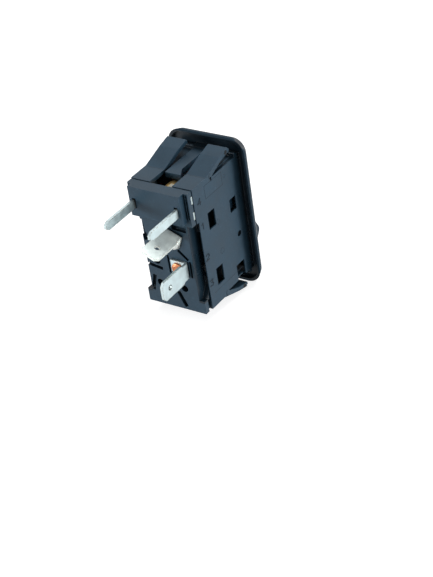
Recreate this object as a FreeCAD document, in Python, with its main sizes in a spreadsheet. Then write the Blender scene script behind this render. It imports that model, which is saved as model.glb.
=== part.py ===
import FreeCAD, Part
import math
import os
import re
import Sketcher

# Illuminated panel rocker switch in millimetres. The origin is the centre of the plane on which the
# bezel seats on its panel, +Y runs back through the panel to the blades and +Z along the long side.

SIZES = {
    # bezel: the frame that stays in front of the panel
    "bezel_width": 27.0,
    "bezel_height": 50.0,
    "bezel_corner": 5.0,
    "bezel_edge": 1.5,
    "bezel_crown": 0.8,
    "bezel_bevel": 2.2,
    "rim_width": 0.9,
    "dish_depth": 1.4,
    # shell: the box behind the panel
    "shell_width": 21.2,
    "shell_height": 41.5,
    "shell_depth": 23.2,
    "shell_wall": 1.2,
    "window_skin": 0.45,
    "window_relief": 1.0,
    "channel_skin": 0.3,
    "side_step": 1.1,
    "light_wall": 0.8,
    "light_wall_depth": 13.0,
    # snap arms and the openings round them
    "collar_depth": 1.2,
    "ledge_front": 0.1,
    "arm_inner": 3.9,
    "arm_fold": 15.8,
    "arm_knee": 8.0,
    "arm_knee_rise": 2.45,
    "arm_tip": 3.2,
    "arm_tip_rise": 3.4,
    "arm_lip": 0.5,
    "arm_thick": 1.3,
    "arm_slit": 12.9,
    "arm_skin": 0.35,
    "side_drop": 1.1,
    "tongue_outer": 3.0,
    "tongue_inner": 0.9,
    "tongue_neck": 13.8,
    "tongue_foot": 2.5,
    "tongue_end": 16.9,
    "tongue_drop": 0.1,
    "tongue_thick": 1.8,
    "tongue_root": 2.2,
    "relief_start": 13.4,
    "relief_end": 14.0,
    "relief_low": 18.6,
    "relief_high": 20.0,
    # side windows: how far back they start and end
    "latch_window_inset": 5.5,
    "latch_window_length": 3.5,
    "latch_window_end": "=shell_depth - latch_window_inset",
    "latch_window_start": "=latch_window_end - latch_window_length",
    "front_window_start": 3.2,
    "front_window_end": 6.5,
    "lower_window_end": 7.5,
    # rocker
    "rocker_level": -5.0,
    "pivot_depth": 3.7,
    "pin_radius": 0.95,
    "pin_recess": 0.75,
    "rocker_width": 18.2,
    "rocker_reach": 13.9,
    "rocker_valley": 8.73,
    "rocker_slope": 17.0,
    "rocker_nose": 1.8,
    "rocker_skirt": 1.2,
    "rocker_wall": 1.4,
    "rocker_gap": 0.4,
    "rocker_tilt": 12.0,
    "cheek_half": 2.2,
    "cheek_depth": 2.4,
    "running_gap": 0.05,
    "stem_radius": 2.6,
    "lever_inset": 5.15,
    "lever_depth": "=shell_depth - lever_inset",
    "stem_gap": 4.85,
    "stem_length": "=lever_depth - pivot_depth - stem_gap",
    "bore_floor": 1.7,
    "plunger_radius": 1.55,
    "spring_length": 3.6,
    "spring_wire": 0.35,
    "spring_radius": 1.15,
    # seesaw contact
    "pole_offset": 3.1,
    "lever_thick": 0.6,
    "lever_half": 1.7,
    "lever_bend": 12.0,
    "lever_rest": 6.0,
    "track_length": 5.6,
    "pad_length": 4.0,
    "tip_gap": 0.3,
    "contact_gap": 0.1,
    "knee_radius": 0.6,
    "ear_gap": 0.2,
    "ear_thick": 0.6,
    "ear_half": 1.6,
    "contact_pitch": 8.0,
    "contact_radius": 1.5,
    "contact_thick": 0.7,
    "bracket_thick": 0.6,
    "bracket_half": 3.2,
    # rivets
    "rivet_radius": 1.2,
    "rivet_head_radius": 1.95,
    "rivet_head": 0.85,
    # terminal base
    "plug_gap": 0.15,
    "plug_length": 3.4,
    "plug_start": "=shell_depth - plug_length",
    "plug_skirt": 1.4,
    "chamber_length": 8.4,
    "chamber_wall": 0.75,
    "floor_inset": 2.2,
    "base_floor": "=shell_depth - floor_inset",
    "seam_gap": 0.3,
    "base_proud": 2.0,
    "base_face": "=shell_depth + base_proud",
    "lower_half": 8.5,
    "channel_low": 17.5,
    "channel_high": 9.5,
    "foot_half": 10.3,
    "foot_rise": 4.3,
    "ramp_rise": 8.3,
    "rail_half": 10.45,
    "rail_low": 9.5,
    "rail_proud": 2.3,
    "rail_face": "=shell_depth + rail_proud",
    "rail_rim": 0.35,
    "rail_rib": 0.22,
    "block_half": 9.0,
    "block_low": 10.9,
    "block_top": 20.55,
    "block_proud": 4.4,
    "block_face": "=shell_depth + block_proud",
    "hole_radius": 1.2,
    "hole_depth": 2.6,
    "groove_depth": 1.2,
    "seat_radius": 2.4,
    "seat_height": 1.0,
    "latch_thick": 1.2,
    "latch_reach": 0.6,
    "latch_lug": 1.3,
    # flat 6.3 mm terminals
    "blade_width": 6.3,
    "blade_root": 5.2,
    "sheet": 0.8,
    "blade_reach": 15.45,
    "blade_tip": "=shell_depth + blade_reach",
    "blade_chamfer": 1.1,
    "blade_hole": 0.85,
    "load_hole_back": 3.6,
    "supply_hole_back": 4.4,
    "shoulder_reach": 5.4,
    "shoulder": "=shell_depth + shoulder_reach",
    "bend_reach": 3.6,
    "foot_back": 2.3,
    "load_rivet_drop": 0.7,
    "load_shift": -0.1,
    "supply_shift": 0.7,
    "supply_angle": 68.6,
    # lamp: its terminals, springs, holder and bulb
    "lamp_level": 15.0,
    "lamp_blade_offset": 7.6,
    "lamp_blade_width": 2.8,
    "lamp_blade_reach": 18.3,
    "lamp_blade_tip": "=shell_depth + lamp_blade_reach",
    "lamp_chamfer": 0.8,
    "slot_play": 0.45,
    "tab_reach": 10.4,
    "tab_inner": 9.2,
    "plate_half": 3.8,
    "tab_notch": 1.2,
    "spring_sheet": 0.5,
    "spring_half": 1.4,
    "holder_radius": 4.2,
    "holder_length": 2.4,
    "holder_inset": 0.2,
    "holder_end": "=shell_depth - holder_inset",
    "holder_start": "=holder_end - holder_length",
    "ear_height": 5.2,
    "cap_radius": 3.2,
    "cap_length": 7.6,
    "cap_inset": 0.8,
    "cap_end": "=holder_end - cap_inset",
    "cap_start": "=cap_end - cap_length",
    "glass_radius": 2.8,
    "glass_length": 7.8,
    "glass_front": "=cap_start - glass_length",
    # indicator lens
    "lens_half_width": 7.9,
    "lens_lip": 0.8,
    "lens_low": "=rocker_level + rocker_reach + rocker_gap + light_wall + lens_lip",
    "lens_high": 18.4,
    "lens_proud": 0.35,
    "lens_thick": 1.3,
    "lens_gap": 0.08,
}

# The windows in each side wall by their lower and upper ends: two for the base's latches, two in front
LATCH_WINDOWS = {"upper": (4.3, 9.9), "lower": (-14.95, -9.25)}
FRONT_WINDOWS = {"front_window_end": (3.6, 8.0), "lower_window_end": (-19.8, -14.4)}

# The spare rivet holes of the terminal base, and its shallow grooves with their widths
SPARE_HOLES = ((4.85, 2.8), (4.85, -5.3), (4.85, -13.1), (-3.8, -13.2))
GROOVES = (
    (8.5, -7.0, 3.1, -7.8, 1.2),
    (6.6, -10.7, 8.0, -16.4, 1.3),
    (-1.3, -14.8, -3.6, -19.8, 1.5),
    (8.6, 8.3, 7.3, 1.2, 1.7),
    (-3.6, 0.3, -6.9, -2.6, 1.0),
    (0.5, -2.4, 0.4, -8.6, 0.7),
    (-7.3, -3.0, -7.3, -8.6, 0.7),
    (-2.6, 8.0, -7.8, 7.8, 1.8),
)

document = FreeCAD.newDocument("panel_rocker_switch")
table = document.addObject("Spreadsheet::Sheet", "Sizes")
for row, (alias, size) in enumerate(SIZES.items(), start=1):
    table.set(f"A{row}", alias)
    table.set(f"B{row}", str(size))
    table.setAlias(f"B{row}", alias)
document.recompute()

# How each origin plane's normal lies on its axis: sketches on XZ look towards -Y
NORMALS = {"XZ_Plane": -1, "YZ_Plane": 1, "XY_Plane": 1}
parts = []


def bound(expression):
    """The expression with each size name pointed at its cell."""
    return re.sub(r"[a-z][a-z_]*", lambda word: f"Sizes.{word.group()}" if word.group() in SIZES
                  else word.group(), str(expression))


def number(expression):
    return float(table.evalExpression(bound(expression)))


def new_body(name, x="0", y="0", z="0", axis=None, angle="0"):
    body = document.addObject("PartDesign::Body", name)
    body.Label = name
    if axis:
        body.Placement.Rotation = FreeCAD.Rotation(FreeCAD.Vector(*axis), number(angle))
        body.setExpression("Placement.Rotation.Angle", bound(angle))
    for letter, place in zip("xyz", (x, y, z)):
        body.setExpression(f"Placement.Base.{letter}", bound(place))
    parts.append(body)
    return body


def polygon(*corners):
    return [(x, y, None) for x, y in corners]


def rectangle(x0, y0, x1, y1):
    return polygon((x0, y0), (x1, y0), (x1, y1), (x0, y1))


def rounded(x, y, radius):
    """A rectangle about the origin with half sizes x and y and rounded corners."""
    in_x, in_y = f"({x} - {radius})", f"({y} - {radius})"
    loop = []
    for sx, sy, along in ((1, -1, False), (1, 1, True), (-1, 1, False), (-1, -1, True)):
        first = (f"{sx} * {in_x}", f"{sy} * ({y})")
        second = (f"{sx} * ({x})", f"{sy} * {in_y}")
        if along:
            first, second = second, first
        centre = (f"{sx} * {in_x}", f"{sy} * {in_y}")
        loop += [(*first, (*centre, radius)), (*second, None)]
    return loop


def add_circle(sketch, x, y, radius):
    index = sketch.addGeometry(Part.Circle(FreeCAD.Vector(number(x), number(y), 0),
                                           FreeCAD.Vector(0, 0, 1), number(radius)))
    for kind, place in (("DistanceX", x), ("DistanceY", y)):
        row = sketch.addConstraint(Sketcher.Constraint(kind, -1, 1, index, 3, number(place)))
        sketch.setExpression(f"Constraints[{row}]", bound(place))
    row = sketch.addConstraint(Sketcher.Constraint("Radius", index, number(radius)))
    sketch.setExpression(f"Constraints[{row}]", bound(radius))


def add_loop(sketch, loop):
    """Lines, and arcs where a corner names a centre and radius, joined end to end."""
    corners = [FreeCAD.Vector(number(x), number(y), 0) for x, y, _ in loop]
    ends = []
    for place, (_, _, arc) in enumerate(loop):
        first, last = corners[place], corners[(place + 1) % len(corners)]
        if arc is None:
            index = sketch.addGeometry(Part.LineSegment(first, last))
            ends.append((index, 1, 2))
            continue
        centre = FreeCAD.Vector(number(arc[0]), number(arc[1]), 0)
        turn = (first - centre).cross(last - centre).z > 0
        low, high = (first, last) if turn else (last, first)
        angles = [math.atan2(v.y - centre.y, v.x - centre.x) for v in (low, high)]
        circle = Part.Circle(centre, FreeCAD.Vector(0, 0, 1), number(arc[2]))
        index = sketch.addGeometry(Part.ArcOfCircle(circle, angles[0], angles[1]))
        ends.append((index, 1, 2) if turn else (index, 2, 1))
    for place, (x, y, arc) in enumerate(loop):
        index, start, _ = ends[place]
        before, _, end = ends[place - 1]
        sketch.addConstraint(Sketcher.Constraint("Coincident", before, end, index, start))
        for kind, size in (("DistanceX", x), ("DistanceY", y)):
            row = sketch.addConstraint(Sketcher.Constraint(kind, -1, 1, index, start, number(size)))
            sketch.setExpression(f"Constraints[{row}]", bound(size))
        if arc is not None:
            row = sketch.addConstraint(Sketcher.Constraint("Radius", index, number(arc[2])))
            sketch.setExpression(f"Constraints[{row}]", bound(arc[2]))


def new_sketch(body, name, plane, height, loops):
    sketch = body.newObject("Sketcher::SketchObject", f"{name}_sketch")
    origin_plane = [item for item in body.Origin.OriginFeatures if item.Role == plane][0]
    sketch.AttachmentSupport = (origin_plane, [""])
    sketch.MapMode = "FlatFace"
    sketch.setExpression("AttachmentOffset.Base.z", bound(f"{NORMALS[plane]} * ({height})"))
    for loop in loops:
        if isinstance(loop, tuple):
            add_circle(sketch, *loop)
        else:
            add_loop(sketch, loop)
    return sketch


def add(body, name, plane, start, end, *loops):
    """Material between two heights over one of the body's origin planes."""
    pad = body.newObject("PartDesign::Pad", name)
    pad.Profile = new_sketch(body, name, plane, start, loops)
    pad.setExpression("Length", bound(f"({end}) - ({start})"))
    pad.Reversed = NORMALS[plane] < 0
    document.recompute()
    return pad


def cut(body, name, plane, start, end, *loops):
    """The same as a cut, which has to take something away."""
    before = body.Shape.Volume
    pocket = body.newObject("PartDesign::Pocket", name)
    pocket.Profile = new_sketch(body, name, plane, start, loops)
    pocket.setExpression("Length", bound(f"({end}) - ({start})"))
    pocket.Reversed = NORMALS[plane] > 0
    document.recompute()
    if not pocket.Shape.Volume < before:
        raise RuntimeError(f"{name} cuts nothing")
    return pocket


def turned(body, name, loop):
    """A turned piece about its own Y axis, from a half outline of radius and place along Y."""
    turn = body.newObject("PartDesign::Revolution", name)
    turn.Profile = new_sketch(body, name, "XY_Plane", "0", [loop])
    turn.ReferenceAxis = (turn.Profile[0], ["V_Axis"])
    turn.Angle = 360.0
    document.recompute()
    return turn


def dress(body, kind, name, sizes, wanted):
    """A fillet or chamfer on the edges that the test picks."""
    base = body.Tip
    names = [f"Edge{place}" for place, edge in enumerate(base.Shape.Edges, start=1) if wanted(edge)]
    if not names:
        raise RuntimeError(f"{name} finds no edge")
    item = body.newObject(f"PartDesign::{kind}", name)
    item.Base = (base, names)
    for key, size in sizes.items():
        item.setExpression(key, bound(size))
    document.recompute()
    return item


def lies_on(edge, axis, place):
    """True where every point of the edge has this coordinate along the axis."""
    low, high = getattr(edge.BoundBox, f"{axis}Min"), getattr(edge.BoundBox, f"{axis}Max")
    return abs(low - number(place)) < 1e-4 and abs(high - number(place)) < 1e-4


def make_housing():
    body = new_body("housing")
    front = "-(bezel_edge + bezel_crown)"
    plate_back = "-dish_depth"
    half_width, half_height = "shell_width / 2", "shell_height / 2"
    inner_width, inner_height = "(shell_width / 2 - shell_wall)", "(shell_height / 2 - shell_wall)"

    add(body, "bezel_plate", "XZ_Plane", front, "0",
        rounded("bezel_width / 2", "bezel_height / 2", "bezel_corner"))
    bevel = dress(body, "Chamfer", "bezel_bevel_edge", {}, lambda edge: lies_on(edge, "Y", front))
    bevel.ChamferType = "Two distances"
    bevel.setExpression("Size", bound("bezel_bevel"))
    bevel.setExpression("Size2", bound("bezel_crown"))
    document.recompute()
    cut(body, "bezel_dish", "XZ_Plane", plate_back, "0",
        rounded("(bezel_width / 2 - rim_width)", "(bezel_height / 2 - rim_width)",
                "(bezel_corner - rim_width)"))
    add(body, "shell_block", "XZ_Plane", "-bezel_edge", "shell_depth",
        rectangle(f"-{half_width}", f"-{half_height}", half_width, half_height))
    cut(body, "shell_cavity", "XZ_Plane", plate_back, "shell_depth",
        rectangle(f"-{inner_width}", f"-{inner_height}", inner_width, inner_height))

    light_low = "(rocker_level + rocker_reach + rocker_gap)"
    add(body, "light_partition", "XZ_Plane", plate_back, "light_wall_depth",
        rectangle(f"-{inner_width} - 0.1 * shell_wall", light_low,
                  f"{inner_width} + 0.1 * shell_wall", f"{light_low} + light_wall"))

    aperture = "(sqrt(rocker_reach ^ 2 - (pivot_depth + dish_depth) ^ 2) + rocker_gap)"
    slot_half = "(rocker_width / 2 + 0.75 * rocker_gap)"
    cut(body, "rocker_aperture", "XZ_Plane", front, plate_back,
        rectangle(f"-{slot_half}", f"rocker_level - {aperture}", slot_half, f"rocker_level + {aperture}"))
    cut(body, "lens_aperture", "XZ_Plane", front, plate_back,
        rectangle("-lens_half_width", "lens_low", "lens_half_width", "lens_high"))
    cut(body, "pin_holes", "YZ_Plane", f"-{half_width}", half_width,
        ("pivot_depth", "rocker_level", "pin_radius"))

    cut_side_walls(body, half_width, inner_width, inner_height)
    make_snap_arms(body, plate_back, half_width, half_height, inner_width, inner_height)
    make_top_tongue(body, half_height, inner_height)
    return body


def cut_side_walls(body, half_width, inner_width, inner_height):
    """Windows through a skin that is relieved from inside, and the wall thinned beside the base."""
    spans = [("latch_window_start", low, "latch_window_end", high) for low, high in LATCH_WINDOWS.values()]
    spans += [("front_window_start", low, back, high) for back, (low, high) in FRONT_WINDOWS.items()]
    windows = [rectangle(*span) for span in spans]
    reliefs = [rectangle(f"{start} - window_relief", f"max({low} - window_relief; -{inner_height})",
                         f"{end} + window_relief", f"{high} + window_relief")
               for start, low, end, high in spans]
    channel = rectangle("plug_start", "-channel_low", "shell_depth", "channel_high")
    step = rectangle("shell_depth - side_step", "-(shell_height / 2)", "shell_depth", "channel_high")
    relief = rectangle("relief_start", "relief_low", "relief_end", "relief_high")
    for side, sign in (("left", -1), ("right", 1)):
        inner = f"{sign} * {inner_width}"
        for name, skin, loops in (("windows", "0", windows), ("window_reliefs", "window_skin", reliefs),
                                  ("thin_wall", "channel_skin", [channel]), ("step", "0", [step])):
            outer = f"{sign} * ({half_width} - {skin})"
            cut(body, f"{side}_{name}", "YZ_Plane", *sorted((inner, outer), key=number), *loops)
        groove = (f"{sign} * {half_width}", f"{sign} * ({half_width} - window_skin)")
        cut(body, f"{side}_fold_relief", "YZ_Plane", *sorted(groove, key=number), relief)


def make_snap_arms(body, plate_back, half_width, half_height, inner_width, inner_height):
    """Four sprung arms, each over a pocket that a ledge closes in front, with a groove behind the bezel."""
    side_top = f"({half_height} - side_drop)"
    skin = f"{inner_height} + arm_skin"
    knee = f"{half_height} + arm_knee_rise"
    tip = f"{half_height} + arm_tip_rise"
    section = (("arm_fold + arm_thick", half_height), ("arm_fold", half_height),
               ("arm_knee", knee), ("arm_tip + arm_lip", tip),
               ("arm_tip + arm_lip", f"{tip} - arm_lip"), ("arm_tip", f"{tip} - arm_lip"),
               ("arm_tip", f"{tip} - arm_thick"), ("arm_knee", f"{knee} - arm_thick"),
               ("arm_slit", skin), ("arm_fold + arm_thick", skin))
    steps = [rectangle("collar_depth", f"{level} * {side_top}", "arm_slit", f"{level} * {half_height}")
             for level in (1, -1)]
    cut(body, "left_side_steps", "YZ_Plane", f"-{half_width}", f"-{inner_width}", *steps)
    cut(body, "right_side_steps", "YZ_Plane", inner_width, half_width, *steps)
    pockets = (rectangle(f"-{inner_width}", "collar_depth", "-arm_inner", "arm_slit"),
               rectangle("arm_inner", "collar_depth", inner_width, "arm_slit"),
               rectangle(f"-{half_width}", plate_back, "-arm_inner", "ledge_front"),
               rectangle("arm_inner", plate_back, half_width, "ledge_front"))
    cut(body, "top_arm_pockets", "XY_Plane", skin, half_height, *pockets)
    cut(body, "bottom_arm_pockets", "XY_Plane", f"-({half_height})", f"-({skin})", *pockets)
    arms = [polygon(*((y, f"{level} * ({z})") for y, z in section)) for level in (1, -1)]
    add(body, "left_arms", "YZ_Plane", f"-{half_width}", "-arm_inner", *arms)
    add(body, "right_arms", "YZ_Plane", "arm_inner", half_width, *arms)


def make_top_tongue(body, half_height, inner_height):
    """The tongue between the top arms, in front of the opening over the bulb, with a foot on one side."""
    cut(body, "top_opening", "XY_Plane", inner_height, half_height,
        rectangle("-arm_inner", "collar_depth", "arm_inner", "shell_depth"))
    top = f"({half_height} - tongue_drop)"
    add(body, "top_tongue", "XY_Plane", f"{top} - tongue_thick", top, polygon(
        ("tongue_outer", "ledge_front"), ("tongue_outer", "tongue_end"), ("-tongue_foot", "tongue_end"),
        ("-tongue_inner", "tongue_neck"), ("-tongue_inner", "ledge_front")))
    add(body, "tongue_root_wall", "YZ_Plane", "-arm_inner", "arm_inner", rectangle(
        "ledge_front", f"{top} - tongue_thick - tongue_root", "collar_depth", f"{inner_height} + 0.1"))


def make_indicator_lens():
    body = new_body("indicator_lens")
    front = "-(bezel_edge + bezel_crown)"
    window = [f"{value} {sign} lens_gap" for value, sign in
              (("-lens_half_width", "+"), ("lens_low", "+"), ("lens_half_width", "-"), ("lens_high", "-"))]
    flange = [f"{value} {sign} lens_lip" for value, sign in
              (("-lens_half_width", "-"), ("lens_low", "-"), ("lens_half_width", "+"), ("lens_high", "+"))]
    add(body, "lens_window", "XZ_Plane", f"{front} - lens_proud", "-dish_depth + lens_thick",
        rectangle(*window))
    dress(body, "Fillet", "lens_edge", {"Radius": "lens_proud"},
          lambda edge: lies_on(edge, "Y", f"{front} - lens_proud"))
    add(body, "lens_flange", "XZ_Plane", "-dish_depth", "-dish_depth + lens_thick", rectangle(*flange))
    cut(body, "lens_hollow", "XZ_Plane", f"{front} + lens_thick", "-dish_depth + lens_thick",
        rectangle(*(f"{value} {sign} lens_lip" for value, sign in zip(window, "++--"))))


def rocker_outline(reach, valley, skirt, rear):
    """The rocker's section: a shallow V in front, ends that are arcs about the pivot, and its rear."""
    slope = "tan(rocker_slope)"
    tip = (f"((sqrt(({reach}) ^ 2 * (1 + {slope} ^ 2) - ({valley}) ^ 2) - ({valley}) * {slope})"
           f" / (1 + {slope} ^ 2))")
    tip_depth = f"-(({valley}) + {slope} * {tip})"
    end = f"sqrt(({reach}) ^ 2 - ({skirt}) ^ 2)"
    arc = ("0", "0", reach)
    mirrored_rear = [(y, f"-({z})") for y, z in reversed(rear)]
    return ([(f"-({valley})", "0", None), (tip_depth, tip, arc), (f"-({skirt})", end, None)]
            + [(y, z, None) for y, z in rear] + [(y, z, None) for y, z in mirrored_rear]
            + [(f"-({skirt})", f"-({end})", arc), (tip_depth, f"-({tip})", None)])


def rocker_body(name):
    """A body in the rocker's own frame: pivot at the origin, +Y along the stem, tilted as at rest."""
    return new_body(name, y="pivot_depth", z="rocker_level", axis=(1, 0, 0), angle="-rocker_tilt")


def make_rocker():
    body = rocker_body("rocker")
    half, inside = "(rocker_width / 2)", "(rocker_width / 2 - rocker_wall)"
    outer_rear = [("-rocker_skirt", "2 * cheek_half"), ("cheek_depth", "cheek_half")]
    add(body, "rocker_form", "YZ_Plane", f"-{half}", half,
        rocker_outline("rocker_reach", "rocker_valley", "rocker_skirt", outer_rear))
    nose_level = 0.4 * number("rocker_reach")
    depth = -0.6 * number("rocker_reach")
    dress(body, "Fillet", "rocker_noses", {"Radius": "rocker_nose"},
          lambda edge: edge.BoundBox.XLength > number("rocker_width") - 0.01
          and abs(edge.BoundBox.ZMin) > nose_level and edge.BoundBox.YMax < depth)
    inner_reach = "rocker_reach - rocker_wall"
    end = f"sqrt(({inner_reach}) ^ 2 - rocker_skirt ^ 2)"
    cut(body, "rocker_hollow", "YZ_Plane", f"-{inside}", inside,
        rocker_outline(inner_reach, "rocker_valley - rocker_wall / cos(rocker_slope)",
                       "rocker_skirt", [("2 * cheek_depth", end)]))
    front = "-(rocker_valley - 0.5 * rocker_wall)"
    add(body, "rocker_stem", "XZ_Plane", front, "stem_length", ("-pole_offset", "0", "stem_radius"))
    add(body, "pin_tube", "YZ_Plane", f"-{half}", half, ("0", "0", "0.8 * cheek_half"))
    for side in (-1, 1):
        add(body, f"rocker_rib_{'left' if side < 0 else 'right'}", "YZ_Plane",
            f"{side} * 0.6 * {half} - 0.4 * rocker_wall", f"{side} * 0.6 * {half} + 0.4 * rocker_wall",
            polygon((front, "-0.35 * rocker_reach"), ("-rocker_skirt", "-0.35 * rocker_reach"),
                    ("0", "0"), ("-rocker_skirt", "0.35 * rocker_reach"), (front, "0.35 * rocker_reach")))
    cut(body, "spring_bore", "XZ_Plane", "bore_floor", "stem_length",
        ("-pole_offset", "0", "plunger_radius + running_gap"))
    cut(body, "pin_bore", "YZ_Plane", f"-{half}", half, ("0", "0", "pin_radius + running_gap"))


def make_pivot_pin():
    body = new_body("pivot_pin", y="pivot_depth", z="rocker_level")
    half = "(shell_width / 2 - pin_recess)"
    add(body, "pin_shaft", "YZ_Plane", f"-{half}", half, ("0", "0", "pin_radius"))
    dress(body, "Chamfer", "pin_ends", {"Size": "0.25 * pin_radius"},
          lambda edge: edge.BoundBox.XLength < 0.01)


# How far the plunger's ball tip lies from the pivot, just clear of the seesaw's bend
TIP_DEPTH = ("(lever_depth - pivot_depth - (plunger_radius + tip_gap)"
             " / cos(lever_bend))")


def make_plunger():
    body = rocker_body("plunger")
    shoulder = "(bore_floor + spring_length)"
    turned(body, "plunger_form", [
        ("0", shoulder, None), ("plunger_radius", shoulder, None),
        ("plunger_radius", TIP_DEPTH, ("0", TIP_DEPTH, "plunger_radius")),
        ("0", f"{TIP_DEPTH} + plunger_radius", None)])
    shift_sideways(body)


def shift_sideways(body):
    """Moves a piece of the rocker's stem from the middle of the rocker to its pole."""
    body.setExpression("Placement.Base.x", bound("-pole_offset"))


def make_plunger_spring():
    body = rocker_body("plunger_spring")
    turns = 4
    wire = polygon(*((f"spring_radius + spring_wire / 2 * cos({angle})",
                      f"bore_floor + spring_wire / 2 + spring_wire / 2 * sin({angle})")
                     for angle in range(0, 360, 60)))
    sketch = new_sketch(body, "wire", "XY_Plane", "0", [wire])
    coil = body.newObject("PartDesign::AdditiveHelix", "coil")
    coil.Profile = sketch
    coil.ReferenceAxis = (sketch, ["V_Axis"])
    coil.Mode = "height-turns-angle"
    coil.setExpression("Height", bound("spring_length - spring_wire"))
    coil.Turns = turns
    document.recompute()
    shift_sideways(body)


def lever_body(name):
    """A body in the seesaw's own frame: its knee at the origin, turned as at rest."""
    return new_body(name, x="-pole_offset", y="lever_depth", z="rocker_level", axis=(1, 0, 0),
                    angle="lever_rest")


def make_contact_lever():
    body = lever_body("contact_lever")
    pad_bend = "(lever_bend - lever_rest)"
    track = ("track_length * sin(lever_bend)", "track_length * cos(lever_bend)")
    pad = (f"({track[0]} + pad_length * sin({pad_bend}))", f"({track[1]} + pad_length * cos({pad_bend}))")
    middle = f"((lever_bend + {pad_bend}) / 2)"
    rear_bend = (f"(-({track[0]}) + lever_thick * cos({middle}))",
                 f"({track[1]} + lever_thick * sin({middle}))")
    add(body, "lever_strip", "YZ_Plane", "-lever_half", "lever_half", polygon(
        ("0", "0"), (f"-({track[0]})", track[1]), (f"-{pad[0]}", pad[1]),
        (f"-{pad[0]} + lever_thick * cos({pad_bend})", f"{pad[1]} + lever_thick * sin({pad_bend})"),
        rear_bend, ("lever_thick / cos(lever_bend)", "0"),
        (f"-({track[0]}) + lever_thick * cos(lever_bend)",
         f"-({track[1]}) - lever_thick * sin(lever_bend)"),
        (f"-({track[0]})", f"-({track[1]})")))
    outer = "(lever_half + ear_gap + ear_thick + 0.1)"
    for side, start, end in (("left", f"-{outer}", "-lever_half"), ("right", "lever_half", outer)):
        add(body, f"knee_{side}", "YZ_Plane", start, end, ("0", "0", "knee_radius"))
    level = contact_level()
    cut(body, "contact_hole", "XZ_Plane", f"-1.2 * {pad[0]}", "0",
        ("0", level, "0.5 * contact_radius"))


def contact_level():
    """How far the moving contact sits along the seesaw from its knee."""
    return "(contact_pitch / cos(lever_bend - lever_rest))"


def pad_front():
    """Where the pad's front face lies at the moving contact, ahead of the knee."""
    pad_bend = "(lever_bend - lever_rest)"
    return (f"(track_length * sin(lever_bend) + ({contact_level()} - track_length * cos(lever_bend))"
            f" * tan({pad_bend}))")


def make_moving_contact():
    """A silver rivet in the seesaw's pad, square to the pad."""
    body = new_body("moving_contact", axis=(1, 0, 0), angle="lever_bend")
    turn = "lever_rest"
    body.setExpression("Placement.Base.x", bound("-pole_offset"))
    body.setExpression("Placement.Base.y", bound(
        f"lever_depth - {pad_front()} * cos({turn}) - {contact_level()} * sin({turn})"))
    body.setExpression("Placement.Base.z", bound(
        f"rocker_level - {pad_front()} * sin({turn}) + {contact_level()} * cos({turn})"))
    turned(body, "contact_form", [
        ("0", "-0.3", None), ("0.75 * contact_radius", "-0.3", None), ("0.75 * contact_radius", "0", None),
        ("0.45 * contact_radius", "0", None), ("0.45 * contact_radius", "lever_thick", None),
        ("contact_radius", "lever_thick", None),
        ("contact_radius", "lever_thick + 0.7 * contact_thick", None),
        ("0.85 * contact_radius", "lever_thick + contact_thick", None),
        ("0", "lever_thick + contact_thick", None)])


def on_front():
    """How deep the moving contact's face lies when the switch is on."""
    bend = "(lever_bend - lever_rest)"
    return (f"(lever_depth - track_length * sin({bend}) - (contact_pitch - track_length * cos({bend}))"
            " * tan(lever_bend - 2 * lever_rest) + lever_thick + contact_thick)")


def make_fixed_contact():
    body = new_body("fixed_contact", x="-pole_offset", z="rocker_level + contact_pitch")
    face, back = f"({on_front()} + contact_gap)", "(base_floor - seat_height - rivet_head)"
    turned(body, "contact_disc", [
        ("0", face, None), ("0.85 * contact_radius", face, None),
        ("contact_radius", f"{face} + 0.2", None), ("contact_radius", back, None), ("0", back, None)])


def make_fulcrum_bracket():
    """A folded strip whose two ears cradle the seesaw's knee."""
    body = new_body("fulcrum_bracket", x="-pole_offset", z="rocker_level")
    inner, outer = "(lever_half + ear_gap)", "(lever_half + ear_gap + ear_thick)"
    add(body, "bracket_plate", "XZ_Plane", "base_floor - bracket_thick", "base_floor",
        rectangle(f"-{outer}", "-bracket_half", outer, "bracket_half"))
    for side, start, end in (("left", f"-{outer}", f"-{inner}"), ("right", inner, outer)):
        add(body, f"ear_{side}", "YZ_Plane", start, end, polygon(
            ("base_floor - bracket_thick", "-ear_half"), ("lever_depth", "-ear_half"),
            ("lever_depth - knee_radius", "-0.8 * ear_half"),
            ("lever_depth - knee_radius", "0.8 * ear_half"), ("lever_depth", "ear_half"),
            ("base_floor - bracket_thick", "ear_half")))
    seat = "(knee_radius + running_gap)"
    cut(body, "knee_seat", "YZ_Plane", f"-{outer}", outer, ("lever_depth", "0", seat))
    cut(body, "knee_mouth", "YZ_Plane", f"-{outer}", outer,
        rectangle("lever_depth - 2 * knee_radius", f"-{seat}", "lever_depth", seat))
    cut(body, "rivet_hole", "XZ_Plane", "base_floor - bracket_thick", "base_floor",
        ("0", "-load_rivet_drop", "rivet_radius"))


def rivet(name, level, inner_end):
    """A copper rivet: flat head inside, and on the terminal's foot one that is rolled over in rings."""
    body = new_body(name, x="-pole_offset", z=level)
    outer = "(base_face + sheet)"
    turned(body, f"{name}_form", [
        ("0", f"{inner_end} - rivet_head", None), ("0.85 * rivet_head_radius", f"{inner_end} - rivet_head", None),
        ("0.85 * rivet_head_radius", inner_end, None),
        ("rivet_radius", inner_end, None), ("rivet_radius", outer, None),
        ("rivet_head_radius", outer, None), ("0.92 * rivet_head_radius", f"{outer} + 0.6 * rivet_head", None),
        ("0.6 * rivet_head_radius", f"{outer} + rivet_head", None),
        ("0.34 * rivet_head_radius", f"{outer} + 0.75 * rivet_head", None),
        ("0", f"{outer} + 0.75 * rivet_head", None)])


def make_rivets():
    rivet("load_rivet", "rocker_level - load_rivet_drop", "(base_floor - bracket_thick)")
    rivet("supply_rivet", "rocker_level + contact_pitch", "(base_floor - seat_height)")


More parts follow.
